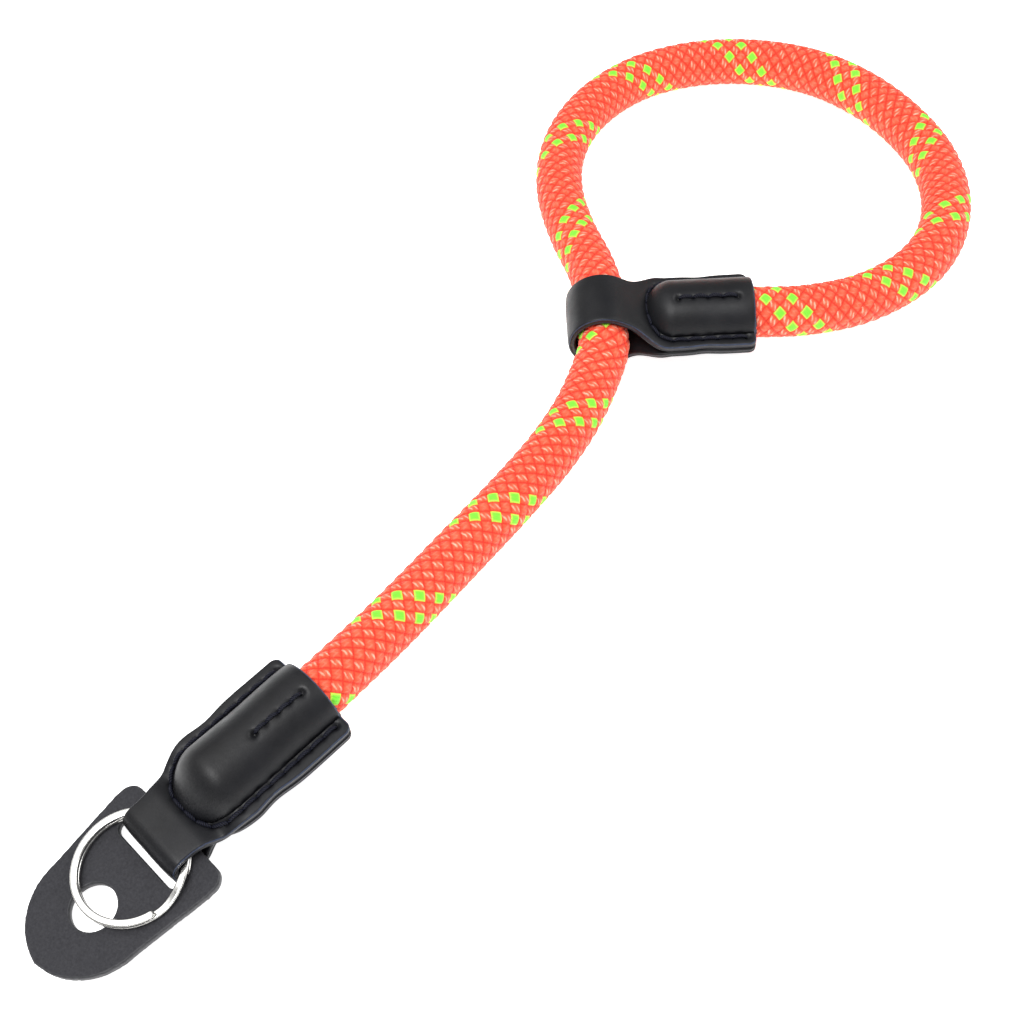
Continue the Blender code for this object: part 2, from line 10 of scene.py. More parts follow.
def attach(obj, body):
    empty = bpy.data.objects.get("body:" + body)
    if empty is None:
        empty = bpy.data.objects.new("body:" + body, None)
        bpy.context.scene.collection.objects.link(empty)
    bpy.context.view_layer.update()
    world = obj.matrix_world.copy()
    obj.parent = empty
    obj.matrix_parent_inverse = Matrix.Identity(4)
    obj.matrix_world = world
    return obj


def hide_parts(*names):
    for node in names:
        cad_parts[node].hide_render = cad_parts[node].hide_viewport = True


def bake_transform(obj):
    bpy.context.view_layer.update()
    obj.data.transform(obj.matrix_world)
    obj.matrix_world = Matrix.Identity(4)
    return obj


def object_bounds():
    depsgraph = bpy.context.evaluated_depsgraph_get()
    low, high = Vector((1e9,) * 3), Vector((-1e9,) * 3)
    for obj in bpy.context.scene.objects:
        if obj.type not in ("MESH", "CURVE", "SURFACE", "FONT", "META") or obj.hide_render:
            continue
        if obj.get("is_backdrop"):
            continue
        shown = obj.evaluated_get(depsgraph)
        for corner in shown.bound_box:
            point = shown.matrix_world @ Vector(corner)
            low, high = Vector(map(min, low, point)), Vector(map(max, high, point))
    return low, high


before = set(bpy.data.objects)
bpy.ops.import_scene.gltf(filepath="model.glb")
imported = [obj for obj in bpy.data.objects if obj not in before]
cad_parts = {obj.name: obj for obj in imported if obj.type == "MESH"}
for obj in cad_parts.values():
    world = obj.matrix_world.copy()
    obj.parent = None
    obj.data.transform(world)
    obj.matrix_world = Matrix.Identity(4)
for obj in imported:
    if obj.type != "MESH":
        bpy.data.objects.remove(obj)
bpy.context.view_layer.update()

MM = 0.001

# Sizes in millimetres. Those that the CAD source has too are the same there, apart from WING_H
# (the wings are pressed together here), THREAD_R (thicker here) and the two U seams' depths.
ROPE_R = 5.25
LEATHER = 1.6
BULGE_R = 6.5
WING_H = 0.84
FLAT = math.radians(12)
CORNER_R = 1.6
AXIS_Z = BULGE_R * math.cos(FLAT) + LEATHER / 2
MOUTH_Y = 15.5
DOME_FULL_Y = -6.3
TUNNEL_Y = -15.5
FOLD_OUTER_Y = -22.0
FOLD_R = 2.0
TAB_HALF = 6.9
PAD_T = 1.6
PAD_HALF = 12.7
PAD_BACK_Y = -15.6
PAD_SHOULDER_R = 2.6
PAD_SHOULDER_Y = -19.5
PAD_ARCH_Y = -33.7
PAD_ARCH_R = 12.1
PAD_ARCH_X = -1.1
SLOT_FRONT_Y = -23.1
SLOT_BACK_Y = -19.5
SLOT_HALF = 8.0
SLOT_R = 1.5
HOLE_Y = -33.7
HOLE_R = 4.0
RING_Y = -25.3
RING_OUTER_R = 10.0
RING_RADIAL = 1.3
COIL_T = 0.8
COIL_GAP = 0.2
RING_TURN = math.radians(12)
RING_H = 2 * COIL_T + COIL_GAP
STACK_GAP = 0.35
TUNNEL_H = (3 * STACK_GAP + PAD_T + RING_H + LEATHER) / 2
TAB_Z = TUNNEL_H + LEATHER / 2
PAD_TILT = math.radians(3.9)
BAR_Y = -18.0
KEEPER_AT = Vector((-21.5, 113.0, 0))
KEEPER_ANGLE = math.radians(45.5)
KEEPER_MOUTH = 30.7
BAND_TOUCH = 3.2
BAND_SLOPE_END = 14.0
KEEPER_DOME_FULL = 14.4
BAND_HALF = 6.3
KEEPER_HALF = 10.1
BAND_END = 5.0
WING_START = 12.5
SEAM_X = 7.9
STITCH = 2.95
THREAD_R = 0.37
STITCH_STEPS = 14
STITCH_LIFT = 0.16
ROPE_STITCH_LIFT = 0.20
LOWER_ROPE_STITCH_LIFT = -0.42
EDGE_BEVEL = 0.32
ROPE_SEAM_X = 1.5
ROPE_SEAM_STITCHES = 4
SLEEVE_SEAM_START = 13.6
SLEEVE_SEAM_DEPTH = 7.2
SLEEVE_ROPE_SEAM_START = 12.6
SLEEVE_ROPE_STITCH = 2.6
KEEPER_SEAM_START = 28.8
KEEPER_SEAM_DEPTH = 5.1
KEEPER_ROPE_SEAM_START = 27.3
KEEPER_ROPE_STITCH = 3.0
LEATHER_SEED = 11

# The rope's centreline: sleeve, stem, through the band, round the loop, into the keeper
ROPE_ROUTE = [
    (0.0, -6.5, 7.16), (0.0, 4.0, 7.16), (0.0, 15.5, 7.16), (-0.5, 22.0, 6.6),
    (-1.4, 31.5, 5.6), (-2.3, 41.6, 5.3), (-3.6, 55.5, 5.3), (-5.0, 69.5, 5.3),
    (-6.8, 82.0, 5.3), (-9.6, 92.8, 5.4), (-13.0, 101.6, 6.3), (-16.15, 107.74, 7.16),
    (-18.65, 110.2, 7.16), (-21.5, 113.0, 7.16), (-24.35, 115.8, 7.16),
    (-26.85, 118.26, 7.16), (-34.2, 123.4, 6.4), (-45.0, 129.4, 5.4),
    (-55.4, 136.6, 5.3), (-63.4, 145.6, 5.3), (-68.5, 156.6, 5.3), (-70.0, 168.4, 5.3),
    (-68.0, 179.6, 5.3), (-61.6, 191.0, 5.3), (-51.6, 200.2, 5.3), (-38.8, 206.2, 5.3),
    (-25.6, 207.4, 5.3), (-12.2, 204.8, 5.3), (0.4, 198.9, 5.3), (10.4, 189.4, 5.3),
    (16.0, 178.0, 5.3), (17.0, 166.6, 5.3), (13.8, 154.6, 5.3), (7.6, 143.6, 6.2),
    (0.02, 134.9, 7.16), (-5.6, 129.2, 7.16), (-11.3, 123.4, 7.16),
]

# The braid: ten strands each way round, and how it lies: at places along the rope, how many
# crossings have gone by and how far the braid is turned, in strands
STRANDS = 10
CELL = 7
TRACERS = (7, 9)
LAY = [
    (0, 0, 0.2), (93, 69, 0.4), (116, 87, 0.7), (144, 107, 0.1), (177, 131, -0.8),
    (234, 173, -0.4), (289, 211, -0.2), (315, 231, -0.3), (337, 247, 0.9), (360, 265, 1.2),
    (392, 289, 1.2),
]

KEEPER_TURN = np.array(Matrix.Rotation(KEEPER_ANGLE - math.pi / 2, 3, "Z"))


def keeper_place(points):
    """Points of the keeper's own frame moved to where it lies."""
    return points @ KEEPER_TURN.T + np.array(KEEPER_AT)


# Materials


def material(name):
    """A fresh node material and its shader."""
    mat = bpy.data.materials.new(name)
    mat.use_nodes = True
    return mat, mat.node_tree, mat.node_tree.nodes["Principled BSDF"]


def node(tree, kind, **sockets):
    """A node with some of its properties or inputs set."""
    made = tree.nodes.new(kind)
    for key, value in sockets.items():
        if key in made.inputs:
            made.inputs[key].default_value = value
        else:
            setattr(made, key, value)
    return made


def wire(tree, pairs):
    """Links given as (from node, output, to node, input)."""
    for a, out, b, into in pairs:
        tree.links.new(a.outputs[out], b.inputs[into])


def ramp(tree, stops):
    """A colour ramp through (place, colour) stops."""
    made = tree.nodes.new("ShaderNodeValToRGB")
    items = made.color_ramp.elements
    while len(items) < len(stops):
        items.new(0.5)
    for item, (place, colour) in zip(items, stops):
        item.position = place
        item.color = (*colour, 1)
    return made


def calc(tree, operation, a, b=None, clamp=False):
    """A Math node fed by sockets or plain numbers."""
    made = tree.nodes.new("ShaderNodeMath")
    made.operation = operation
    made.use_clamp = clamp
    for into, value in zip(made.inputs, (a, b)):
        if value is None:
            continue
        if isinstance(value, (int, float)):
            into.default_value = value
        else:
            tree.links.new(value, into)
    return made.outputs[0]


def mix(tree, share, a, b, blend="MIX"):
    """A colour mix; a and b are sockets or colours, share a socket or number."""
    made = tree.nodes.new("ShaderNodeMix")
    made.data_type = "RGBA"
    made.blend_type = blend
    for into, value in ((made.inputs[0], share), (made.inputs[6], a), (made.inputs[7], b)):
        if isinstance(value, (int, float)):
            into.default_value = value
        elif isinstance(value, tuple):
            into.default_value = (*value, 1)
        else:
            tree.links.new(value, into)
    return made.outputs[2]


def noise(tree, scale, detail=3.0, roughness=0.5, vector=None):
    """Noise on object coordinates in metres."""
    made = tree.nodes.new("ShaderNodeTexNoise")
    made.inputs["Scale"].default_value = scale
    made.inputs["Detail"].default_value = detail
    made.inputs["Roughness"].default_value = roughness
    if vector is None:
        vector = tree.nodes.new("ShaderNodeTexCoord").outputs["Object"]
    tree.links.new(vector, made.inputs["Vector"])
    return made


def bump(tree, height, distance, strength=1.0, normal=None):
    """A bump node's normal output."""
    made = tree.nodes.new("ShaderNodeBump")
    made.inputs["Distance"].default_value = distance
    made.inputs["Strength"].default_value = strength
    tree.links.new(height, made.inputs["Height"])
    if normal is not None:
        tree.links.new(normal, made.inputs["Normal"])
    return made.outputs[0]


def braid_material():
    """Fluorescent yarns: each crossing shows parallel twisted yarns, with painted shade between strands
    and yarns and a painted highlight, painted sheen and painted glints on the crowns.
    """
    mat, tree, shader = material("sheath")
    place = node(tree, "ShaderNodeUVMap", uv_map="yarn")
    split = tree.nodes.new("ShaderNodeSeparateXYZ")
    kind = node(tree, "ShaderNodeUVMap", uv_map="kind")
    kinds = tree.nodes.new("ShaderNodeSeparateXYZ")
    wire(tree, [(place, 0, split, 0), (kind, 0, kinds, 0)])
    across, along = split.outputs[0], split.outputs[1]
    family = calc(tree, "GREATER_THAN", kinds.outputs[0], 0.5)
    tracer = calc(tree, "GREATER_THAN", kinds.outputs[0], 1.5)
    tint = kinds.outputs[1]

    edge_across = calc(tree, "ABSOLUTE", calc(tree, "SUBTRACT", across, 0.5))
    edge_along = calc(tree, "ABSOLUTE", calc(tree, "SUBTRACT", along, 0.5))
    edge = calc(tree, "MAXIMUM", edge_across, edge_along)

    glint_jitter = noise(tree, 700.0, 3.0, 0.6)
    fibres = tree.nodes.new("ShaderNodeTexNoise")
    fibres.inputs["Scale"].default_value = 1.0
    fibres.inputs["Detail"].default_value = 2.0
    stretch = tree.nodes.new("ShaderNodeCombineXYZ")
    slant = calc(tree, "ADD", across, calc(tree, "MULTIPLY", along, 0.45))
    tree.links.new(calc(tree, "MULTIPLY", slant, 26.0), stretch.inputs[0])
    tree.links.new(calc(tree, "MULTIPLY", along, 3.0), stretch.inputs[1])
    tree.links.new(calc(tree, "MULTIPLY", tint, 57.0), stretch.inputs[2])
    tree.links.new(stretch.outputs[0], fibres.inputs["Vector"])

    yarns = calc(tree, "ABSOLUTE", calc(tree, "SINE", calc(tree, "MULTIPLY", across, math.pi * 3)))
    # soft is 1 on each crown and 0 at the cell's border; it weights the painted highlight and the painted
    # sheen.
    soft = calc(tree, "SUBTRACT", 1.0, calc(tree, "MULTIPLY", edge, 2.3), clamp=True)

    # Painted shade: the orange darkens towards each cell's border, in the crevices where the strands
    # meet.
    painted_crevice_shade = ramp(tree, [(0.0, (0.95, 0.125, 0.05)), (0.7, (0.93, 0.09, 0.033)),
                        (0.92, (0.90, 0.052, 0.02)), (1.0, (0.72, 0.028, 0.012))])
    tree.links.new(calc(tree, "MULTIPLY", edge, 2.0), painted_crevice_shade.inputs[0])
    # Painted highlight: a paler patch on the crown of each crossing.
    painted_crown_highlight = mix(tree, calc(tree, "MULTIPLY", calc(tree, "POWER", soft, 0.8), 0.14),
               painted_crevice_shade.outputs[0], (1.0, 0.27, 0.15))
    # Painted shade in the grooves between the yarns of a strand.
    yarn_shaded = mix(tree, calc(tree, "MULTIPLY", calc(tree, "SUBTRACT", 1.0, yarns), 0.30),
                painted_crown_highlight, (0.75, 0.035, 0.015))
    # Painted sheen: pale streaks along the twisted fibres, strongest on the crown.
    painted_sheen_streaks = ramp(tree, [(0.38, (0, 0, 0)), (0.7, (1, 1, 1))])
    tree.links.new(fibres.outputs[0], painted_sheen_streaks.inputs[0])
    yarn_shaded = mix(tree, calc(tree, "MULTIPLY", painted_sheen_streaks.outputs[0], calc(tree, "MULTIPLY", soft, 0.38)),
                yarn_shaded, (1.0, 0.30, 0.18))

    # Painted glints: short slanted pale dashes where the twisted yarns crest, stronger on one family of
    # strands
    side = calc(tree, "SUBTRACT", calc(tree, "MULTIPLY", family, 2.0), 1.0)
    local = calc(tree, "SUBTRACT", calc(tree, "FRACT", calc(tree, "MULTIPLY", across, 2.0)), 0.5)
    crest = calc(tree, "SUBTRACT", along, 0.5)
    wobble = calc(tree, "MULTIPLY", calc(tree, "SUBTRACT", glint_jitter.outputs[0], 0.5), 1.1)
    lean = calc(tree, "ADD", calc(tree, "MULTIPLY", calc(tree, "MULTIPLY", crest, 1.5), side), wobble)
    off = calc(tree, "ABSOLUTE", calc(tree, "SUBTRACT", local, lean))
    line = calc(tree, "SUBTRACT", 1.0, calc(tree, "MULTIPLY", off, 3.9), clamp=True)
    reach = calc(tree, "SUBTRACT", 1.0, calc(tree, "MULTIPLY", calc(tree, "ABSOLUTE", crest), 3.6),
                 clamp=True)
    painted_glint = calc(tree, "MULTIPLY", calc(tree, "POWER", line, 0.6), calc(tree, "POWER", reach, 0.5))
    painted_glint = calc(tree, "MULTIPLY", painted_glint, calc(tree, "SUBTRACT", 1.0, calc(
        tree, "MULTIPLY", family, 0.8)))
    uneven = ramp(tree, [(0.34, (0.35,) * 3), (0.55, (1.0,) * 3)])
    tree.links.new(glint_jitter.outputs[0], uneven.inputs[0])
    painted_glint = calc(tree, "MULTIPLY", painted_glint, uneven.outputs[0], clamp=True)
    orange = mix(tree, painted_glint, yarn_shaded, (1.0, 0.64, 0.46))

    # Tracer strands: lime, with painted shade darkening towards each cell's border and faint painted
    # sheen streaks.
    lime_painted_crevice_shade = ramp(tree, [(0.0, (0.2, 0.95, 0.035)), (0.62, (0.23, 0.97, 0.04)),
                       (0.84, (0.62, 0.97, 0.09)), (1.0, (0.5, 0.62, 0.03))])
    tree.links.new(calc(tree, "MULTIPLY", edge, 2.0), lime_painted_crevice_shade.inputs[0])
    green = mix(tree, calc(tree, "MULTIPLY", painted_sheen_streaks.outputs[0], 0.2), lime_painted_crevice_shade.outputs[0],
                (0.5, 1.0, 0.2))
    colour = mix(tree, tracer, orange, green)
    varied = mix(tree, calc(tree, "MULTIPLY", tint, 0.14), colour, (0.95, 0.12, 0.06), "MULTIPLY")
    tree.links.new(varied, shader.inputs["Base Color"])
    shader.inputs["Roughness"].default_value = 0.62
    shader.inputs["Specular IOR Level"].default_value = 0.35
    shader.inputs["Sheen Weight"].default_value = 0.12
    shader.inputs["Sheen Roughness"].default_value = 0.4
    relief = calc(tree, "ADD", calc(tree, "MULTIPLY", calc(tree, "POWER", yarns, 0.6), 1.0),
                  calc(tree, "MULTIPLY", fibres.outputs[0], 0.55))
    tree.links.new(bump(tree, relief, 0.00014, 0.8), shader.inputs["Normal"])
    return mat


def leather_material(name, base, light, roughness, tinge):
    """Smooth dyed leather: pores, fine creases and a satin finish that is not even."""
    mat, tree, shader = material(name)
    coords = tree.nodes.new("ShaderNodeTexCoord")
    mottle = noise(tree, 160.0, 5.0, 0.6, coords.outputs["Object"])
    grain = tree.nodes.new("ShaderNodeTexVoronoi")
    grain.feature = "DISTANCE_TO_EDGE"
    grain.inputs["Scale"].default_value = 2600.0
    warp = noise(tree, 700.0, 2.0, 0.5, coords.outputs["Object"])
    bent = tree.nodes.new("ShaderNodeMix")
    bent.data_type = "VECTOR"
    bent.inputs[0].default_value = 0.0006
    wire(tree, [(coords, "Object", bent, 4), (warp, "Color", bent, 5), (bent, 1, grain, "Vector")])
    creases = noise(tree, 420.0, 6.0, 0.7, coords.outputs["Object"])
    tone = ramp(tree, [(0.3, base), (0.75, light)])
    tree.links.new(mottle.outputs[0], tone.inputs[0])
    blue = noise(tree, 90.0, 2.0, 0.5, coords.outputs["Object"])
    colour = mix(tree, calc(tree, "MULTIPLY", blue.outputs[0], tinge), tone.outputs[0],
                 (0.014, 0.018, 0.045))
    tree.links.new(colour, shader.inputs["Base Color"])
    gloss = ramp(tree, [(0.25, (roughness - 0.07,) * 3), (0.8, (roughness + 0.1,) * 3)])
    tree.links.new(creases.outputs[0], gloss.inputs[0])
    tree.links.new(gloss.outputs[0], shader.inputs["Roughness"])
    shader.inputs["Specular IOR Level"].default_value = 0.32
    cells = bump(tree, grain.outputs["Distance"], 0.00005, 0.35)
    tree.links.new(bump(tree, creases.outputs[0], 0.00012, 0.35, cells), shader.inputs["Normal"])
    return mat


def edge_material(name, low, high):
    """The cut edge of leather: burnished, with fibres along the cut."""
    mat, tree, shader = material(name)
    coords = tree.nodes.new("ShaderNodeTexCoord")
    squeeze = tree.nodes.new("ShaderNodeMapping")
    squeeze.inputs["Scale"].default_value = (1, 1, 5)
    wire(tree, [(coords, "Object", squeeze, 0)])
    fibre = noise(tree, 900.0, 5.0, 0.7, squeeze.outputs[0])
    tone = ramp(tree, [(0.3, low), (0.72, high)])
    tree.links.new(fibre.outputs[0], tone.inputs[0])
    tree.links.new(tone.outputs[0], shader.inputs["Base Color"])
    shader.inputs["Roughness"].default_value = 0.55
    tree.links.new(bump(tree, fibre.outputs[0], 0.00012, 0.6), shader.inputs["Normal"])
    return mat


def pad_material():
    """Matt grey leather with a fine, even grain."""
    mat, tree, shader = material("pad_leather")
    coords = tree.nodes.new("ShaderNodeTexCoord")
    fine = noise(tree, 2100.0, 4.0, 0.65, coords.outputs["Object"])
    broad = noise(tree, 240.0, 3.0, 0.5, coords.outputs["Object"])
    grain = tree.nodes.new("ShaderNodeTexVoronoi")
    grain.inputs["Scale"].default_value = 1900.0
    wire(tree, [(coords, "Object", grain, "Vector")])
    tone = ramp(tree, [(0.3, (0.022, 0.022, 0.026)), (0.7, (0.044, 0.044, 0.050))])
    tree.links.new(fine.outputs[0], tone.inputs[0])
    colour = mix(tree, calc(tree, "MULTIPLY", broad.outputs[0], 0.35), tone.outputs[0],
                 (0.055, 0.054, 0.060))
    tree.links.new(colour, shader.inputs["Base Color"])
    shader.inputs["Roughness"].default_value = 0.78
    shader.inputs["Specular IOR Level"].default_value = 0.25
    relief = calc(tree, "ADD", fine.outputs[0], calc(tree, "MULTIPLY", grain.outputs["Distance"], 0.6))
    tree.links.new(bump(tree, relief, 0.00012, 0.75), shader.inputs["Normal"])
    return mat


def thread_material():
    """Waxed thread: three plies twisted together, near black with a blue cast."""
    mat, tree, shader = material("thread")
    place = node(tree, "ShaderNodeUVMap", uv_map="ply")
    split = tree.nodes.new("ShaderNodeSeparateXYZ")
    wire(tree, [(place, 0, split, 0)])
    spiral = calc(tree, "ADD", calc(tree, "MULTIPLY", split.outputs[0], math.pi * 3),
                  calc(tree, "MULTIPLY", split.outputs[1], math.pi * 7))
    ply = calc(tree, "ABSOLUTE", calc(tree, "SINE", spiral))
    # Painted shade: the colour darkens into the grooves between the plies; the crests carry the thread's
    # blue cast.
    tone = ramp(tree, [(0.0, (0.001, 0.001, 0.002)), (1.0, (0.009, 0.010, 0.022))])
    tree.links.new(ply, tone.inputs[0])
    tree.links.new(tone.outputs[0], shader.inputs["Base Color"])
    shader.inputs["Roughness"].default_value = 0.6
    shader.inputs["Specular IOR Level"].default_value = 0.25
    tree.links.new(bump(tree, ply, 0.0001, 1.0), shader.inputs["Normal"])
    return mat


def nickel_material():
    """Nickel-plated spring steel with fine scratches along the wire."""
    mat, tree, shader = material("nickel")
    coords = tree.nodes.new("ShaderNodeTexCoord")
    scratch = noise(tree, 3000.0, 3.0, 0.6, coords.outputs["Object"])
    smear = noise(tree, 300.0, 3.0, 0.6, coords.outputs["Object"])
    tone = ramp(tree, [(0.3, (0.62, 0.61, 0.58)), (0.7, (0.78, 0.77, 0.75))])
    tree.links.new(smear.outputs[0], tone.inputs[0])
    tree.links.new(tone.outputs[0], shader.inputs["Base Color"])
    shader.inputs["Metallic"].default_value = 1.0
    gloss = ramp(tree, [(0.2, (0.12,) * 3), (0.8, (0.26,) * 3)])
    tree.links.new(smear.outputs[0], gloss.inputs[0])
    tree.links.new(gloss.outputs[0], shader.inputs["Roughness"])
    tree.links.new(bump(tree, scratch.outputs[0], 0.00002, 0.3), shader.inputs["Normal"])
    return mat


def floor_material():
    """A pale, even floor."""
    mat, tree, shader = material("floor")
    spots = noise(tree, 30.0, 3.0, 0.5)
    tone = ramp(tree, [(0.2, (0.93, 0.93, 0.93)), (0.8, (0.95, 0.95, 0.95))])
    wire(tree, [(spots, 0, tone, 0), (tone, 0, shader, "Base Color")])
    shader.inputs["Roughness"].default_value = 0.9
    shader.inputs["Specular IOR Level"].default_value = 0.1
    shader.inputs["Emission Color"].default_value = (1, 1, 1, 1)
    shader.inputs["Emission Strength"].default_value = 0.9
    return mat


# Meshes, all worked out in millimetres


def mesh_piece(name, verts, faces, mats, which=None, uvs=None, smooth=True):
    """An object from millimetre points, faces of any size, and a material number per face."""
    mesh = bpy.data.meshes.new(name)
    sizes = np.array([len(f) for f in faces], np.int32)
    loops = np.concatenate([np.asarray(f, np.int32) for f in faces])
    mesh.vertices.add(len(verts))
    mesh.vertices.foreach_set("co", (np.asarray(verts) * MM).astype(np.float32).ravel())
    mesh.loops.add(len(loops))
    mesh.loops.foreach_set("vertex_index", loops)
    mesh.polygons.add(len(sizes))
    starts = np.concatenate([[0], np.cumsum(sizes)[:-1]]).astype(np.int32)
    mesh.polygons.foreach_set("loop_start", starts)
    for mat in mats:
        mesh.materials.append(mat)
    if which is not None:
        mesh.polygons.foreach_set("material_index", np.asarray(which, np.int32))
    mesh.polygons.foreach_set("use_smooth", np.full(len(sizes), smooth))
    for layer, values in (uvs or {}).items():
        mesh.uv_layers.new(name=layer).data.foreach_set(
            "uv", np.asarray(values, np.float32).ravel())
    mesh.update(calc_edges=True)
    mesh.validate()
    made = bpy.data.objects.new(name, mesh)
    bpy.context.collection.objects.link(made)
    return made


def ease(x, low, high):
    """0 before low, 1 after high, a cosine ramp between."""
    return (1 - np.cos(np.pi * np.clip((x - low) / (high - low), 0.0, 1.0))) / 2


def route_samples():
    """The rope's centreline as closely spaced points, with the distance to each."""
    points = [Vector(p) for p in ROPE_ROUTE]
    ends = [2 * points[0] - points[1], *points, 2 * points[-1] - points[-2]]
    dense = [points[0]]
    for p0, p1, p2, p3 in zip(ends, ends[1:], ends[2:], ends[3:]):
        t1 = (p1 - p0).length ** 0.5
        t2 = t1 + (p2 - p1).length ** 0.5
        t3 = t2 + (p3 - p2).length ** 0.5
        for i in range(1, 25):
            t = t1 + (t2 - t1) * i / 24
            a1 = p0.lerp(p1, t / t1)
            a2 = p1.lerp(p2, (t - t1) / (t2 - t1))
            a3 = p2.lerp(p3, (t - t2) / (t3 - t2))
            b1 = a1.lerp(a2, t / t2)
            b2 = a2.lerp(a3, (t - t1) / (t3 - t1))
            dense.append(b1.lerp(b2, (t - t1) / (t2 - t1)))
    dense = np.array(dense)
    steps = np.linalg.norm(np.diff(dense, axis=0), axis=1)
    return dense, np.concatenate([[0.0], np.cumsum(steps)])


ROUTE, REACH = route_samples()
ROPE_LENGTH = REACH[-1]
BAND_PLACE = REACH[np.argmin(np.linalg.norm(ROUTE[:, :2] - np.array(KEEPER_AT)[:2], axis=1))]


def on_route(distance):
    """Points of the centreline, with the directions along it, to its right and up."""
    def at(d):
        return np.stack([np.interp(d, REACH, ROUTE[:, i]) for i in range(3)], axis=1)
    distance = np.asarray(distance, float)
    along = at(np.clip(distance + 1.2, 0, ROPE_LENGTH)) - at(np.clip(distance - 1.2, 0, ROPE_LENGTH))
    along /= np.linalg.norm(along, axis=1)[:, None]
    right = np.cross(along, [0.0, 0.0, 1.0])
    right /= np.linalg.norm(right, axis=1)[:, None]
    return at(distance), along, right, np.cross(right, along)


def drop(across, along):
    """How far the top strand of a crossing falls below the crown."""
    return 0.19 * np.abs(2 * across) ** 3.0 + 0.23 * np.abs(2 * along) ** 2.2


def smoothed_lay():
    """Crossings gone by and turn of the braid at every millimetre, with the corners eased."""
    places = np.arange(-8.0, ROPE_LENGTH + 9.0)
    knots = np.array(LAY)
    tables = []
    for column in (1, 2):
        values = np.interp(places, knots[:, 0], knots[:, column])
        padded = np.pad(values, 6, mode="reflect", reflect_type="odd")
        tables.append(np.convolve(padded, np.ones(13) / 13, mode="valid"))
    return places, *tables


LAY_PLACES, LAY_COUNTS, LAY_TURNS = smoothed_lay()


def rope_piece(name, start, end, mat):
    """A braided stretch of the rope: the surface of two interlaced families of strands."""
    first = math.ceil(np.interp(start, LAY_PLACES, LAY_COUNTS) * CELL)
    last = math.floor(np.interp(end, LAY_PLACES, LAY_COUNTS) * CELL)
    around = STRANDS * CELL
    rows = np.arange(first, last + 1)
    distances = np.clip(np.interp(rows / CELL, LAY_COUNTS, LAY_PLACES), 0, ROPE_LENGTH)
    turns = np.interp(distances, LAY_PLACES, LAY_TURNS)
    row, place = np.meshgrid(rows, np.arange(around), indexing="ij")
    spoke = 2 * place + (row & 1)
    ku, kv = (row + spoke) // 2, (row - spoke) // 2
    u, v = ku % CELL, kv % CELL
    a, b = u / CELL - 0.5, v / CELL - 0.5
    over = ((ku // CELL + kv // CELL) % 2) == 0
    fall = np.where(over, drop(a, b), drop(b, a))
    border = (u == 0) | (v == 0)
    fall = np.where(border, (drop(a, b) + drop(b, a)) / 2, fall)
    radius = ROPE_R - fall
    centre, _, right, up = on_route(distances)
    angle = math.tau / (2 * STRANDS) * (spoke / CELL - 2 * turns[:, None])
    verts = (centre[:, None, :] + radius[..., None] * (
        np.cos(angle)[..., None] * right[:, None, :] + np.sin(angle)[..., None] * up[:, None, :]))
    verts = verts.reshape(-1, 3)

    def index(r, s):
        return (r - first) * around + (s // 2) % around

    low = row[:-2], spoke[:-2]
    quads = np.stack([index(low[0], low[1]), index(low[0] + 1, low[1] - 1),
                      index(low[0] + 2, low[1]), index(low[0] + 1, low[1] + 1)], axis=-1)
    quads = quads.reshape(-1, 4)
    fu, fv = ku[:-2].ravel(), kv[:-2].ravel()
    top = ((fu // CELL + fv // CELL) % 2) == 0
    cu = (fu % CELL)[:, None] + np.array([0, 0, 1, 1])
    cv = (fv % CELL)[:, None] + np.array([0, 1, 1, 0])
    across = np.where(top[:, None], cu, cv) / CELL
    lengthwise = np.where(top[:, None], cv, cu) / CELL
    yarn = np.stack([across, lengthwise], axis=-1)
    chance = np.random.default_rng(7).random((4096, 2 * STRANDS))
    ring = fu // CELL + fv // CELL
    tint = chance[ring % 4096, (fu // CELL - fv // CELL) % (2 * STRANDS)]
    marked = top & np.isin((fu // CELL) % STRANDS, TRACERS)
    kind = np.stack([top * 1.0 + marked, tint], axis=-1)
    kind = np.repeat(kind[:, None, :], 4, axis=1)

    caps = []
    for r, turn in ((first, 1), (last - 1, -1)):
        hub = len(verts)
        verts = np.vstack([verts, centre[r - first][None, :]])
        rim = []
        for m in range(around):
            for k in (r, r + 1):
                rim.append((index(k, 2 * m + (k & 1)), 2 * m + (k & 1)))
        rim = [i for i, s in sorted(rim, key=lambda pair: pair[1])]
        caps += [(hub, i, j)[::turn] for i, j in zip(rim[1:] + rim[:1], rim)]
    blank = np.full((len(caps) * 3, 2), 0.5)
    return mesh_piece(name, verts, [*quads, *caps], [mat],
                      uvs={"yarn": np.vstack([yarn.reshape(-1, 2), blank]),
                           "kind": np.vstack([kind.reshape(-1, 2), blank * 0])})


# Leather


def rounded_over(base, cover):
    """The greater of two heights, with a fillet where they meet."""
    over = cover - base
    return base + (over + np.sqrt(over ** 2 + 1.4)) / 2


def dome(x, beyond, reach):
    """Height over the rope, which ends in a round dome; beyond is the distance past its straight part."""
    inside = 1 - (max(0.0, beyond) / reach) ** 2 - (x / BULGE_R) ** 2
    return BULGE_R * np.sign(inside) * np.sqrt(np.abs(inside))


def flat_below(height, side):
    """The underside is flattened where the strap rests on it."""
    if side > 0:
        return height
    return np.minimum(height, BULGE_R * math.cos(FLAT))


def corner(half, inset):
    """Half width near a mouth, where the corners are rounded."""
    if inset >= CORNER_R:
        return half
    return half - CORNER_R + math.sqrt(max(0.0, CORNER_R ** 2 - (CORNER_R - inset) ** 2))


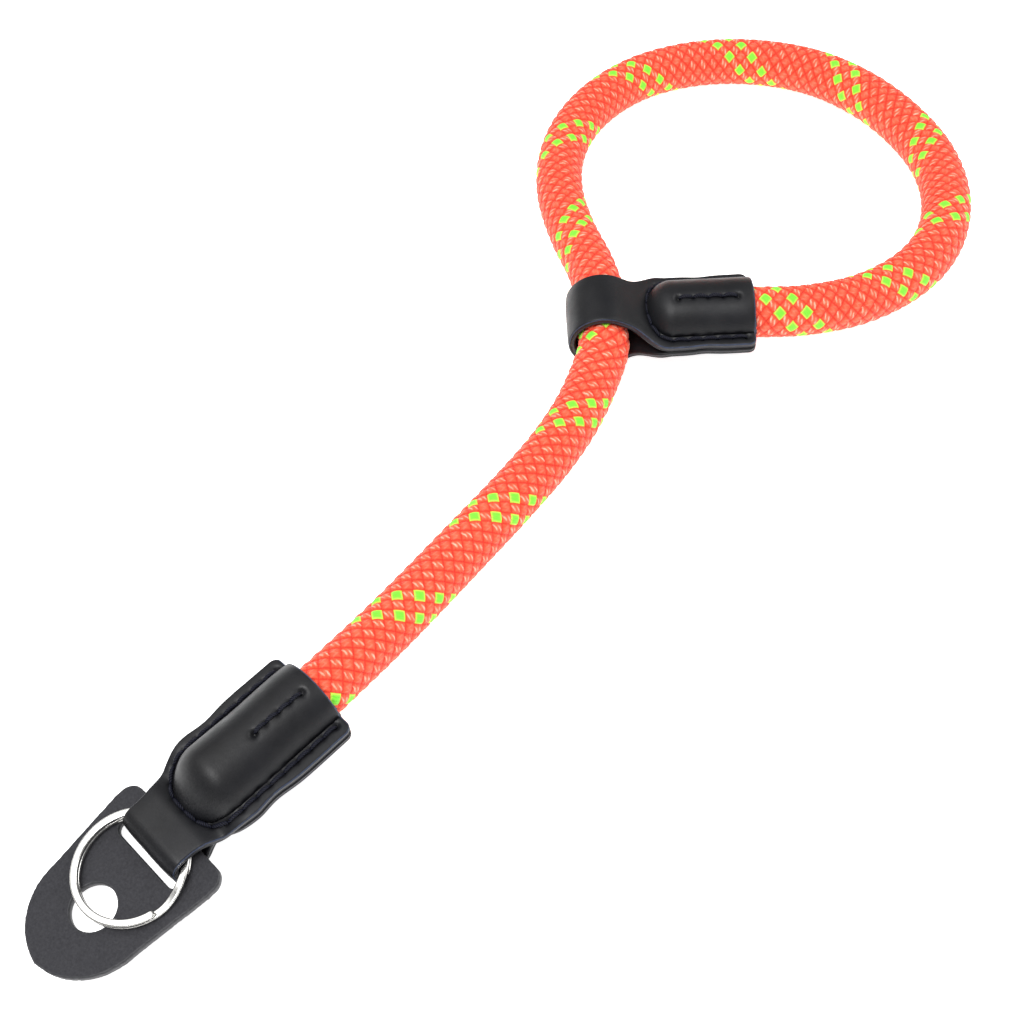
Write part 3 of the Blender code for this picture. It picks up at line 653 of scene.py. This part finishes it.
def sleeve_half(y):
    """The end sleeve's outline, a little drawn in where the rope's end is."""
    half = TAB_HALF + 3.25 * ease(y, -18.5, -4.0) - 0.6 * math.exp(-((y + 1.5) / 3.6) ** 2)
    return corner(half, MOUTH_Y - y)


def sleeve_axis(y):
    """Height of the seam plane: it climbs from the tab to the rope's axis."""
    return TAB_Z + (AXIS_Z - TAB_Z) * ease(y, TUNNEL_Y, DOME_FULL_Y)


def sleeve_height(x, y, side):
    """The end sleeve's middle surface, upper or lower layer."""
    base = float(TUNNEL_H + (WING_H - TUNNEL_H) * ease(y, TUNNEL_Y, -10.8))
    height = rounded_over(base, dome(x, DOME_FULL_Y - y, 6.9))
    return sleeve_axis(y) + side * flat_below(height, side)


def keeper_half(y):
    """The keeper's outline: a narrow band that widens to the wings."""
    half = BAND_HALF + (KEEPER_HALF - 0.3 - BAND_HALF) * ease(y, BAND_END, WING_START)
    return corner(half - 0.3 * math.exp(-((y - 20.5) / 2.5) ** 2), KEEPER_MOUTH - y)


def keeper_height(x, y, side):
    """The keeper's middle surface past the top of its band, upper or lower layer."""
    run = BAND_SLOPE_END - BAND_TOUCH
    crown = math.sqrt(BULGE_R ** 2 - BAND_TOUCH ** 2)
    t = min(1.0, (y - BAND_TOUCH) / run)
    base = (crown * (1 - t) ** 2 * (1 + 2 * t) - run * BAND_TOUCH / crown * t * (1 - t) ** 2
            + WING_H * t * t * (3 - 2 * t))
    height = rounded_over(base, dome(x, KEEPER_DOME_FULL - y, 5.0))
    return AXIS_Z + side * flat_below(height, side)


def shares():
    """Places across a strip, as shares of its half width, close together at its edges."""
    inner = list(np.linspace(-0.955, 0.955, 75))
    near = [0.995, 0.985, 0.97]
    return np.array([-1.0, *[-n for n in near], *inner, *near[::-1], 1.0])


def sleeve_grid():
    """The end sleeve's middle surface from upper mouth, round the fold, to lower mouth."""
    places = MOUTH_Y - np.concatenate([[0, 0.05, 0.15, 0.3, 0.55, 0.85, 1.2, 1.6],
                                       np.linspace(2.0, MOUTH_Y + 17.4, 84)])
    columns = shares()

    def layer(y, side):
        tuck = 0.0 if side > 0 else 1.7 * math.exp(-((y + 13.0) / 2.6) ** 2)
        x = columns * (sleeve_half(y) - tuck)
        return np.stack([x, np.full_like(x, y), sleeve_height(x, y, side)], axis=1)

    front = FOLD_OUTER_Y + LEATHER / 2 + FOLD_R
    straight = TUNNEL_H - FOLD_R
    rows = [layer(y, 1) for y in places]
    x = columns * TAB_HALF
    for centre, start in ((straight, 0), (-straight, 90)):
        for step in range(13):
            angle = math.radians(start + 7.5 * step)
            rows.append(np.stack([x, np.full_like(x, front - FOLD_R * math.sin(angle)),
                                  np.full_like(x, TAB_Z + centre + FOLD_R * math.cos(angle))], axis=1))
    rows += [layer(y, -1) for y in places[::-1]]
    return np.array(rows), columns


def keeper_grid():
    """The keeper's middle surface from upper mouth, round the running rope, to lower mouth."""
    lean = math.asin(BAND_TOUCH / BULGE_R)
    places = KEEPER_MOUTH - np.concatenate([[0, 0.05, 0.15, 0.3, 0.55, 0.85, 1.2, 1.6],
                                            np.linspace(2.0, KEEPER_MOUTH - BAND_TOUCH - 0.2, 74)])
    columns = shares()

    def layer(y, side):
        x = columns * keeper_half(y)
        return np.stack([x, np.full_like(x, y), keeper_height(x, y, side)], axis=1)

    rows = [layer(y, 1) for y in places]
    for angle in np.linspace(math.pi - lean, 2 * math.pi + lean, 76):
        y = BULGE_R * math.sin(angle)
        z = max(-BULGE_R * math.cos(angle), -BULGE_R * math.cos(FLAT))
        x = columns * keeper_half(y)
        rows.append(np.stack([x, np.full_like(x, y), np.full_like(x, AXIS_Z + z)], axis=1))
    rows += [layer(y, -1) for y in places[::-1]]
    return np.array(rows), columns


def ripple(points, seed, amount):
    """A slow, uneven rise and fall, the same on every run."""
    rng = np.random.default_rng(seed)
    total = np.zeros(points.shape[:-1])
    for size in (15.0, 10.0):
        for _ in range(3):
            way = rng.normal(size=3)
            way /= np.linalg.norm(way)
            total += np.sin(points @ way * math.tau / size + rng.uniform(0, math.tau)) * size / 9
    return total * amount / 3


def near_path(points, path):
    """Distance in plan from each point to the nearest of a path's points."""
    flat = points[..., :2].reshape(-1, 2)
    best = np.full(len(flat), 1e9)
    for start in range(0, len(path), 40):
        gaps = flat[:, None, :] - path[None, start:start + 40, :]
        best = np.minimum(best, np.sqrt((gaps ** 2).sum(-1)).min(axis=1))
    return best.reshape(points.shape[:-1])


def leather_piece(name, grid, columns, seams, place, seed, mats):
    """A strip of leather over its middle surface, rounded at its edges and drawn in at its seams."""
    rows, width = grid.shape[:2]
    down = np.gradient(grid, axis=0)
    right = np.gradient(grid, axis=1)
    normal = np.cross(right, down)
    normal /= np.linalg.norm(normal, axis=2)[..., None]
    if normal[2, width // 2, 2] < 0:
        normal = -normal
    half = np.abs(grid[:, :1, 0])
    side_gap = (1 - np.abs(columns))[None, :] * half
    end_gap = np.concatenate([[0.0], np.cumsum(np.linalg.norm(
        np.diff(grid[:, width // 2], axis=0), axis=1))])
    end_gap = np.minimum(end_gap, end_gap[-1] - end_gap)[:, None]
    gap = np.minimum(side_gap, end_gap)
    cut_in = EDGE_BEVEL - np.minimum(gap, EDGE_BEVEL)
    thick = LEATHER / 2 - EDGE_BEVEL + np.sqrt(np.clip(EDGE_BEVEL ** 2 - cut_in ** 2, 0, None))
    lip = 0.22 * np.exp(-gap / 1.3)
    outside = thick + ripple(grid, seed, 0.05) * np.clip(gap / 2, 0, 1) - lip
    for upper, path, holes, deep in seams:
        here = (np.arange(rows) < rows / 2)[:, None] == upper
        line = near_path(grid, path)
        hole = near_path(grid, holes)
        pull = 0.18 * np.exp(-(line / 0.8) ** 2) + 0.42 * np.exp(-(hole / 0.45) ** 2)
        pull = pull + 0.45 * np.exp(-(near_path(grid, holes[[0, -1]]) / 0.55) ** 2)
        if deep:
            pull = 0.78 * (1 - ease(line, 0.25, 0.6))
        outside = outside - np.where(here, pull, 0)
    outer = place(grid + normal * outside[..., None])
    inner = place(grid - normal * (thick - 0.02)[..., None])
    verts = [outer.reshape(-1, 3), inner.reshape(-1, 3)]
    count = rows * width
    a = (np.arange(rows - 1)[:, None] * width + np.arange(width - 1)[None, :]).ravel()
    faces = np.stack([a, a + width, a + width + 1, a + 1], axis=1)
    inside = faces[:, ::-1] + count
    loop = list(range(width))
    loop += [r * width + width - 1 for r in range(1, rows)]
    loop += [(rows - 1) * width + c for c in range(width - 2, -1, -1)]
    loop += [r * width for r in range(rows - 2, 0, -1)]
    loop = np.array(loop)
    rim_out, rim_in = verts[0][loop], verts[1][loop]
    bands = []
    for share in (0.33, 0.67):
        bands.append(rim_out * (1 - share) + rim_in * share)
    base = 2 * count
    rings = [loop, base + np.arange(len(loop)), base + len(loop) + np.arange(len(loop)), loop + count]
    walls = []
    for upper, lower in zip(rings, rings[1:]):
        nxt_u, nxt_l = np.roll(upper, -1), np.roll(lower, -1)
        walls.append(np.stack([upper, nxt_u, nxt_l, lower], axis=1))
    walls = np.vstack(walls)
    verts = np.vstack([*verts, *bands])
    spot = faces[len(faces) // 4]
    points = verts[spot]
    facing = np.cross(points[1] - points[0], points[2] - points[1])
    outward = verts[spot[0]] - verts[spot[0] + count]
    if facing @ outward < 0:
        faces, inside = faces[:, ::-1], inside[:, ::-1]
    else:
        walls = walls[:, ::-1]
    rim = (a % width < 2) | (a % width > width - 4) | (a // width < 3)
    skin = np.where(rim & (a // width < rows / 2), 2, 0)
    which = [*skin, *[0] * len(inside), *[1] * len(walls)]
    return mesh_piece(name, verts, [*faces, *inside, *walls], mats, which)


# Seams


def edge_seam(start, turn, depth):
    """Points along a U seam, down one wing, round the dome's foot and up the other."""
    down = [(SEAM_X, start + (turn - start) * i / 60) for i in range(60)]
    bend = []
    for i in range(121):
        across, down_by = math.cos(math.pi * i / 120), math.sin(math.pi * i / 120)
        bend.append((SEAM_X * math.copysign(abs(across) ** 0.82, across),
                     turn - depth * max(0.0, down_by) ** 0.82))
    back = [(-SEAM_X, turn + (start - turn) * i / 60) for i in range(1, 61)]
    return np.array(down + bend + back)


def rope_seam(start, pitch):
    """The short straight seam over the rope."""
    return np.array([(ROPE_SEAM_X, start - ROPE_SEAM_STITCHES * pitch * i / 60) for i in range(61)])


def along_seam(path, spacing):
    """Distances of the holes along a seam, and a function from distance to place."""
    reach = np.concatenate([[0.0], np.cumsum(np.linalg.norm(np.diff(path, axis=0), axis=1))])
    count = round(reach[-1] / spacing)

    def at(distance):
        return np.array([np.interp(distance, reach, path[:, 0]),
                         np.interp(distance, reach, path[:, 1])])
    return np.linspace(0, reach[-1], count + 1), at


def stitch_points(height, at, first, second, side, lift):
    """The line of one stitch, from hole to hole, and its radius along the way."""
    line, radii = [], []
    for i in range(STITCH_STEPS + 1):
        share = i / STITCH_STEPS
        rise = math.sin(math.pi * share) ** 0.4
        x, y = at(first + (second - first) * share)
        d = 0.1
        here = float(height(np.array([x]), y, side)[0])
        slope_x = (float(height(np.array([x + d]), y, side)[0])
                   - float(height(np.array([x - d]), y, side)[0])) / (2 * d)
        slope_y = (float(height(np.array([x]), y + d, side)[0])
                   - float(height(np.array([x]), y - d, side)[0])) / (2 * d)
        off = (LEATHER / 2 - 0.62 + (0.62 + lift) * rise) * math.sqrt(1 + slope_x ** 2 + slope_y ** 2)
        line.append((x, y, here + side * off))
        radii.append(THREAD_R * (0.72 + 0.28 * math.sin(math.pi * share) ** 0.5))
    return np.array(line), radii


def stitches(name, height, runs, place, mat):
    """All of a seam's stitches as one piece of small tubes."""
    verts, faces, uvs = [], [], []
    sides = 10
    for path, spacing, side, lift, seed in runs:
        holes, at = along_seam(path, spacing)
        jitter = np.random.default_rng(seed).normal(size=(len(holes), 2)) * 0.05
        for k, (first, second) in enumerate(zip(holes, holes[1:])):
            line, radii = stitch_points(height, at, first + 0.12, second - 0.12, side, lift)
            line[:, :2] += np.linspace(jitter[k], jitter[k + 1], len(line))
            tangent = np.gradient(line, axis=0)
            tangent /= np.linalg.norm(tangent, axis=1)[:, None]
            right = np.cross(tangent, [0, 0, 1.0])
            right /= np.linalg.norm(right, axis=1)[:, None]
            up = np.cross(right, tangent)
            base = len(verts)
            for centre, r, u, radius in zip(line, right, up, radii):
                for s in range(sides):
                    angle = math.tau * s / sides
                    verts.append(centre + (r * math.cos(angle) + u * math.sin(angle)) * radius)
            for i in range(len(line) - 1):
                for s in range(sides):
                    t = (s + 1) % sides
                    faces.append((base + i * sides + t, base + i * sides + s,
                                  base + (i + 1) * sides + s, base + (i + 1) * sides + t))
                    low, high = i / STITCH_STEPS, (i + 1) / STITCH_STEPS
                    uvs += [((s + 1) / sides, low), (s / sides, low), (s / sides, high),
                            ((s + 1) / sides, high)]
            last = base + (len(line) - 1) * sides
            faces.append(tuple(base + s for s in range(sides)))
            faces.append(tuple(last + s for s in reversed(range(sides))))
            uvs += [(0.5, 0)] * sides * 2
    return mesh_piece(name, place(np.array(verts)), faces, [mat], uvs={"ply": uvs})


# Pad and ring


def tilted(points):
    """Points of the pad and ring drawn level, turned to where they lie."""
    pivot = np.array([0, BAR_Y, LEATHER + STACK_GAP + PAD_T / 2])
    turn = np.array(Matrix.Rotation(PAD_TILT, 3, "X"))
    return (points - pivot) @ turn.T + pivot


def arc(x, y, radius, start, end, steps):
    """Points along an arc, angles in degrees."""
    angles = np.radians(np.linspace(start, end, steps + 1))
    return np.stack([x + radius * np.cos(angles), y + radius * np.sin(angles)], axis=1)


def evenly(outline, step):
    """A closed outline with its points about a step apart."""
    closed = np.vstack([outline, outline[:1]])
    reach = np.concatenate([[0.0], np.cumsum(np.linalg.norm(np.diff(closed, axis=0), axis=1))])
    count = round(reach[-1] / step)
    at = np.linspace(0, reach[-1], count, endpoint=False)
    return np.stack([np.interp(at, reach, closed[:, i]) for i in (0, 1)], axis=1)


def inset(outline, amount):
    """An outline moved inwards, for one that runs anticlockwise."""
    along = np.roll(outline, -1, axis=0) - np.roll(outline, 1, axis=0)
    along /= np.linalg.norm(along, axis=1)[:, None]
    return outline + np.stack([-along[:, 1], along[:, 0]], axis=1) * amount


def pad_outline():
    """The pad's edge, anticlockwise: a pointed arch with rounded shoulders."""
    reach = math.degrees(math.acos(-PAD_ARCH_X / PAD_ARCH_R))
    half = np.vstack([arc(PAD_ARCH_X, PAD_ARCH_Y, PAD_ARCH_R, -reach, 0, 40),
                      [[PAD_HALF, PAD_SHOULDER_Y]],
                      arc(PAD_HALF - PAD_SHOULDER_R, PAD_BACK_Y - PAD_SHOULDER_R,
                          PAD_SHOULDER_R, 8, 90, 12)])
    other = half[::-1] * np.array([-1, 1])
    return np.vstack([half, other[:-1]])


def slot_outline():
    """The slot for the tab, anticlockwise."""
    half = np.vstack([arc(SLOT_HALF - SLOT_R, SLOT_FRONT_Y + SLOT_R, SLOT_R, -90, 0, 10),
                      arc(SLOT_HALF - SLOT_R, SLOT_BACK_Y - SLOT_R, SLOT_R, 0, 90, 10)])
    return np.vstack([half, half[::-1] * np.array([-1, 1])])


def pad_piece(mats):
    """The loose leather flap: softened edges, a slot for the tab and a round hole."""
    outer = evenly(pad_outline(), 0.45)
    slot = evenly(slot_outline(), 0.35)[::-1]
    hole = evenly(arc(0, HOLE_Y, HOLE_R, 0, 360, 72)[:-1], 0.35)[::-1]
    rng = np.random.default_rng(3)
    outer = outer + rng.normal(size=outer.shape) * 0.025
    bevel = 0.3
    loops = [outer, slot, hole]
    profile = [(bevel, 1.0), (bevel * 0.4, 0.92), (0.0, 0.72), (0.0, -0.72), (bevel * 0.4, -0.92),
               (bevel, -1.0)]
    inner = [inset(loop, bevel) for loop in loops]
    xs, ys = np.meshgrid(np.arange(-12.4, 12.5, 0.62), np.arange(-45.4, -15.8, 0.62))
    free = np.stack([xs.ravel(), ys.ravel()], axis=1)
    clear = np.full(len(free), True)
    for loop in inner:
        clear &= near_path(free[:, None, :], loop)[:, 0] > 0.4
    points = np.vstack([*inner, free[clear]])
    edges, start = [], 0
    for loop in inner:
        edges += [(start + i, start + (i + 1) % len(loop)) for i in range(len(loop))]
        start += len(loop)
    flat, _, tris, _, _, _ = delaunay_2d_cdt([Vector(p) for p in points], edges, [], 0, 1e-5)
    flat = np.array([tuple(p) for p in flat])

    def contains(loop, p):
        a, b = loop, np.roll(loop, -1, axis=0)
        hits = (a[:, 1] > p[1]) != (b[:, 1] > p[1])
        at = (b[:, 0] - a[:, 0]) * (p[1] - a[:, 1]) / (b[:, 1] - a[:, 1] + 1e-12) + a[:, 0]
        return np.count_nonzero(hits & (p[0] < at)) % 2 == 1

    kept = []
    for tri in tris:
        middle = flat[list(tri)].mean(axis=0)
        if contains(inner[0], middle) and not any(contains(loop, middle) for loop in inner[1:]):
            a, b, c = flat[list(tri)]
            turn = (b[0] - a[0]) * (c[1] - a[1]) - (b[1] - a[1]) * (c[0] - a[0])
            kept.append(tuple(tri) if turn > 0 else tuple(reversed(tri)))
    middle_z = LEATHER + STACK_GAP + PAD_T / 2
    half = PAD_T / 2
    verts = [np.column_stack([flat, np.full(len(flat), middle_z + half)]),
             np.column_stack([flat, np.full(len(flat), middle_z - half)])]
    faces = [*kept, *[tuple(len(flat) + i for i in reversed(t)) for t in kept]]
    which = [0] * len(faces)
    base = 2 * len(flat)
    start = 0
    for loop in loops:
        rings = [start + np.arange(len(loop))]
        for amount, level in profile[1:-1]:
            verts.append(np.column_stack([inset(loop, amount),
                                          np.full(len(loop), middle_z + half * level)]))
            rings.append(base + np.arange(len(loop)))
            base += len(loop)
        rings.append(len(flat) + start + np.arange(len(loop)))
        for upper, lower in zip(rings, rings[1:]):
            quads = np.stack([upper, lower, np.roll(lower, -1), np.roll(upper, -1)], axis=1)
            faces += [tuple(q) for q in quads]
            which += [1] * len(quads)
        start += len(loop)
    verts = np.vstack(verts)
    sag = 0.05 * np.sin(verts[:, 0] / 5.5 + 0.6) * np.clip((-24 - verts[:, 1]) / 12, 0, 1)
    verts[:, 2] += sag
    return mesh_piece("protector_pad_leather", tilted(verts), faces, mats, which)


def ring_piece(mat):
    """Two turns of rounded flat wire with the step from one to the other."""
    lean = math.radians(20)
    start = lean + math.radians(4)
    end = 4 * math.pi - start
    soft = 0.26
    section = np.vstack([arc(cx * (RING_RADIAL / 2 - soft), cy * (COIL_T / 2 - soft), soft, a, a + 90, 4)
                         for cx, cy, a in ((1, 1, 0), (-1, 1, 90), (-1, -1, 180), (1, -1, 270))])
    steps = 420
    level = (COIL_T + COIL_GAP) / 2
    verts, faces = [], []
    count = len(section)
    for i in range(steps + 1):
        angle = start + (end - start) * i / steps
        turned = angle + RING_TURN
        lift = level * (2 * float(ease(angle, math.tau - lean, math.tau + lean)) - 1)
        trim = 1 - 0.35 * max(0.0, 1 - min(i, steps - i) / 2.5) ** 2
        for across, up in section:
            radius = RING_OUTER_R - RING_RADIAL / 2 + across * trim
            verts.append((radius * math.cos(turned), radius * math.sin(turned), lift + up * trim))
    for i in range(steps):
        for j in range(count):
            k = (j + 1) % count
            faces.append((i * count + j, i * count + k, (i + 1) * count + k, (i + 1) * count + j))
    faces.append(tuple(range(count))[::-1])
    faces.append(tuple(steps * count + j for j in range(count)))
    centre = np.array([0, RING_Y, LEATHER + 2 * STACK_GAP + PAD_T + RING_H / 2])
    return mesh_piece("split_ring_coils", tilted(np.array(verts) + centre), faces, [mat])


# Camera


def photo_camera():
    """A camera where the strap was seen from."""
    data = bpy.data.cameras.new("camera")
    data.sensor_width = 36.0
    data.lens = 49.83
    data.clip_start = 0.005
    data.clip_end = 20.0
    camera = bpy.data.objects.new("camera", data)
    bpy.context.collection.objects.link(camera)
    right = Vector((0.712774, 0.698927, -0.058775))
    up = Vector((-0.547887, 0.607138, 0.575502))
    ahead = Vector((-0.437918, 0.378001, -0.815685))
    camera.matrix_world = Matrix((
        (right.x, up.x, -ahead.x, 0.111502), (right.y, up.y, -ahead.y, -0.033129),
        (right.z, up.z, -ahead.z, 0.221714), (0, 0, 0, 1)))
    bpy.context.scene.camera = camera


photo_camera()

# The rope: one piece up to the keeper's band, and one from there round the loop.
STRANDS_AND_SHEATH = ["rope_sheath"] + ["rope_core_strand_" + str(k) for k in range(1, 8)]
sheath = braid_material()
stem = rope_piece("rope_stem_braid", 0.0, BAND_PLACE, sheath)
loop = rope_piece("rope_loop_braid", BAND_PLACE, ROPE_LENGTH, sheath)
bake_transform(stem)
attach(loop, "keeper")
for piece, low, high, out in ((stem, 0.0, BAND_PLACE, 22.0),
                              (loop, BAND_PLACE, ROPE_LENGTH, BAND_PLACE + 7.6)):
    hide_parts(*STRANDS_AND_SHEATH)
    line = on_route(np.linspace(low, high, 60))[0] * MM
    exit_point = on_route([out])[0][0] * MM

# Leather
leather = leather_material("leather", (0.005, 0.005, 0.0049), (0.0105, 0.0104, 0.0102), 0.44, 0.14)
cut_edge = edge_material("leather_edge", (0.004, 0.004, 0.006), (0.016, 0.017, 0.024))
burnish = edge_material("leather_burnish", (0.006, 0.008, 0.014), (0.035, 0.055, 0.12))
pad_leather = pad_material()
pad_edge = edge_material("pad_edge", (0.012, 0.012, 0.015), (0.05, 0.05, 0.056))
thread = thread_material()


def stay(points):
    """Points already where they belong: the end sleeve lies in the CAD's own frame."""
    return points


def sleeve(name, grid, columns, height, edge_path, rope_path, pitch, place):
    """A sewn sleeve: its leather and the stitches of its two seams."""
    edge_at = along_seam(edge_path, STITCH)
    rope_at = along_seam(rope_path, pitch)
    edge_holes = np.array([edge_at[1](d) for d in edge_at[0]])
    rope_holes = np.array([rope_at[1](d) for d in rope_at[0]])
    seams = [(True, edge_path, edge_holes, False), (False, edge_path, edge_holes, False),
             (True, rope_path, rope_holes, False), (False, rope_path, rope_holes, True)]
    skin = leather_piece(name + "_leather", grid, columns, seams, place, LEATHER_SEED,
                         [leather, cut_edge, burnish])
    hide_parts(name)
    edge = stitches(name + "_edge_stitches", height,
                    [(edge_path, STITCH, 1, STITCH_LIFT, 1),
                     (edge_path, STITCH, -1, STITCH_LIFT, 2)],
                    place, thread)
    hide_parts(name + "_edge_needle_thread", name + "_edge_bobbin_thread")
    over = stitches(name + "_rope_stitches", height,
                    [(rope_path, pitch, 1, ROPE_STITCH_LIFT, 3),
                     (rope_path, pitch, -1, LOWER_ROPE_STITCH_LIFT, 4)],
                    place, thread)
    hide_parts(name + "_rope_needle_thread", name + "_rope_bobbin_thread")
    return skin, edge, over


grid, columns = sleeve_grid()
skin, edge, over = sleeve("end_sleeve", grid, columns, sleeve_height,
                          edge_seam(SLEEVE_SEAM_START, DOME_FULL_Y, SLEEVE_SEAM_DEPTH),
                          rope_seam(SLEEVE_ROPE_SEAM_START, SLEEVE_ROPE_STITCH),
                          SLEEVE_ROPE_STITCH, stay)
for piece in (skin, edge):
    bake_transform(piece)
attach(over, "strap")

grid, columns = keeper_grid()
for piece in sleeve("keeper", grid, columns, keeper_height,
                    edge_seam(KEEPER_SEAM_START, KEEPER_DOME_FULL, KEEPER_SEAM_DEPTH),
                    rope_seam(KEEPER_ROPE_SEAM_START, KEEPER_ROPE_STITCH),
                    KEEPER_ROPE_STITCH, keeper_place):
    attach(piece, "keeper")

# Pad and ring
pad = pad_piece([pad_leather, pad_edge])
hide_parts("protector_pad")
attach(pad, "pad")
ring = ring_piece(nickel_material())
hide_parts("split_ring")
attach(ring, "ring")

# Floor and light
bpy.ops.mesh.primitive_plane_add(size=16.0, location=(0, 0.08, -0.0003))
floor = bpy.context.active_object
floor.name = "floor"
floor.data.materials.append(floor_material())
floor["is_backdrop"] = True


def soft_light(name, place, size, power, towards=(-0.02, 0.08, 0.0)):
    """A large square lamp aimed at a point."""
    data = bpy.data.lights.new(name, "AREA")
    data.shape = "RECTANGLE"
    data.size, data.size_y = size
    data.energy = power
    lamp = bpy.data.objects.new(name, data)
    bpy.context.collection.objects.link(lamp)
    lamp.location = place
    aim = Vector(towards) - Vector(place)
    lamp.rotation_mode = "QUATERNION"
    lamp.rotation_quaternion = aim.to_track_quat("-Z", "Y")


soft_light("key", (0.08, -0.22, 0.85), (0.40, 0.40), 6.0)
soft_light("back", (0.30, 0.75, 0.70), (0.60, 0.60), 3.6)
soft_light("side", (-0.41, -0.06, 0.80), (0.72, 0.72), 2.7)

world = bpy.data.worlds.new("studio")
bpy.context.scene.world = world
world.use_nodes = True
world.node_tree.nodes["Background"].inputs[0].default_value = (1.0, 1.0, 1.0, 1)
world.node_tree.nodes["Background"].inputs[1].default_value = 0.30
bpy.context.scene.view_settings.view_transform = "Standard"

low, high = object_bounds()
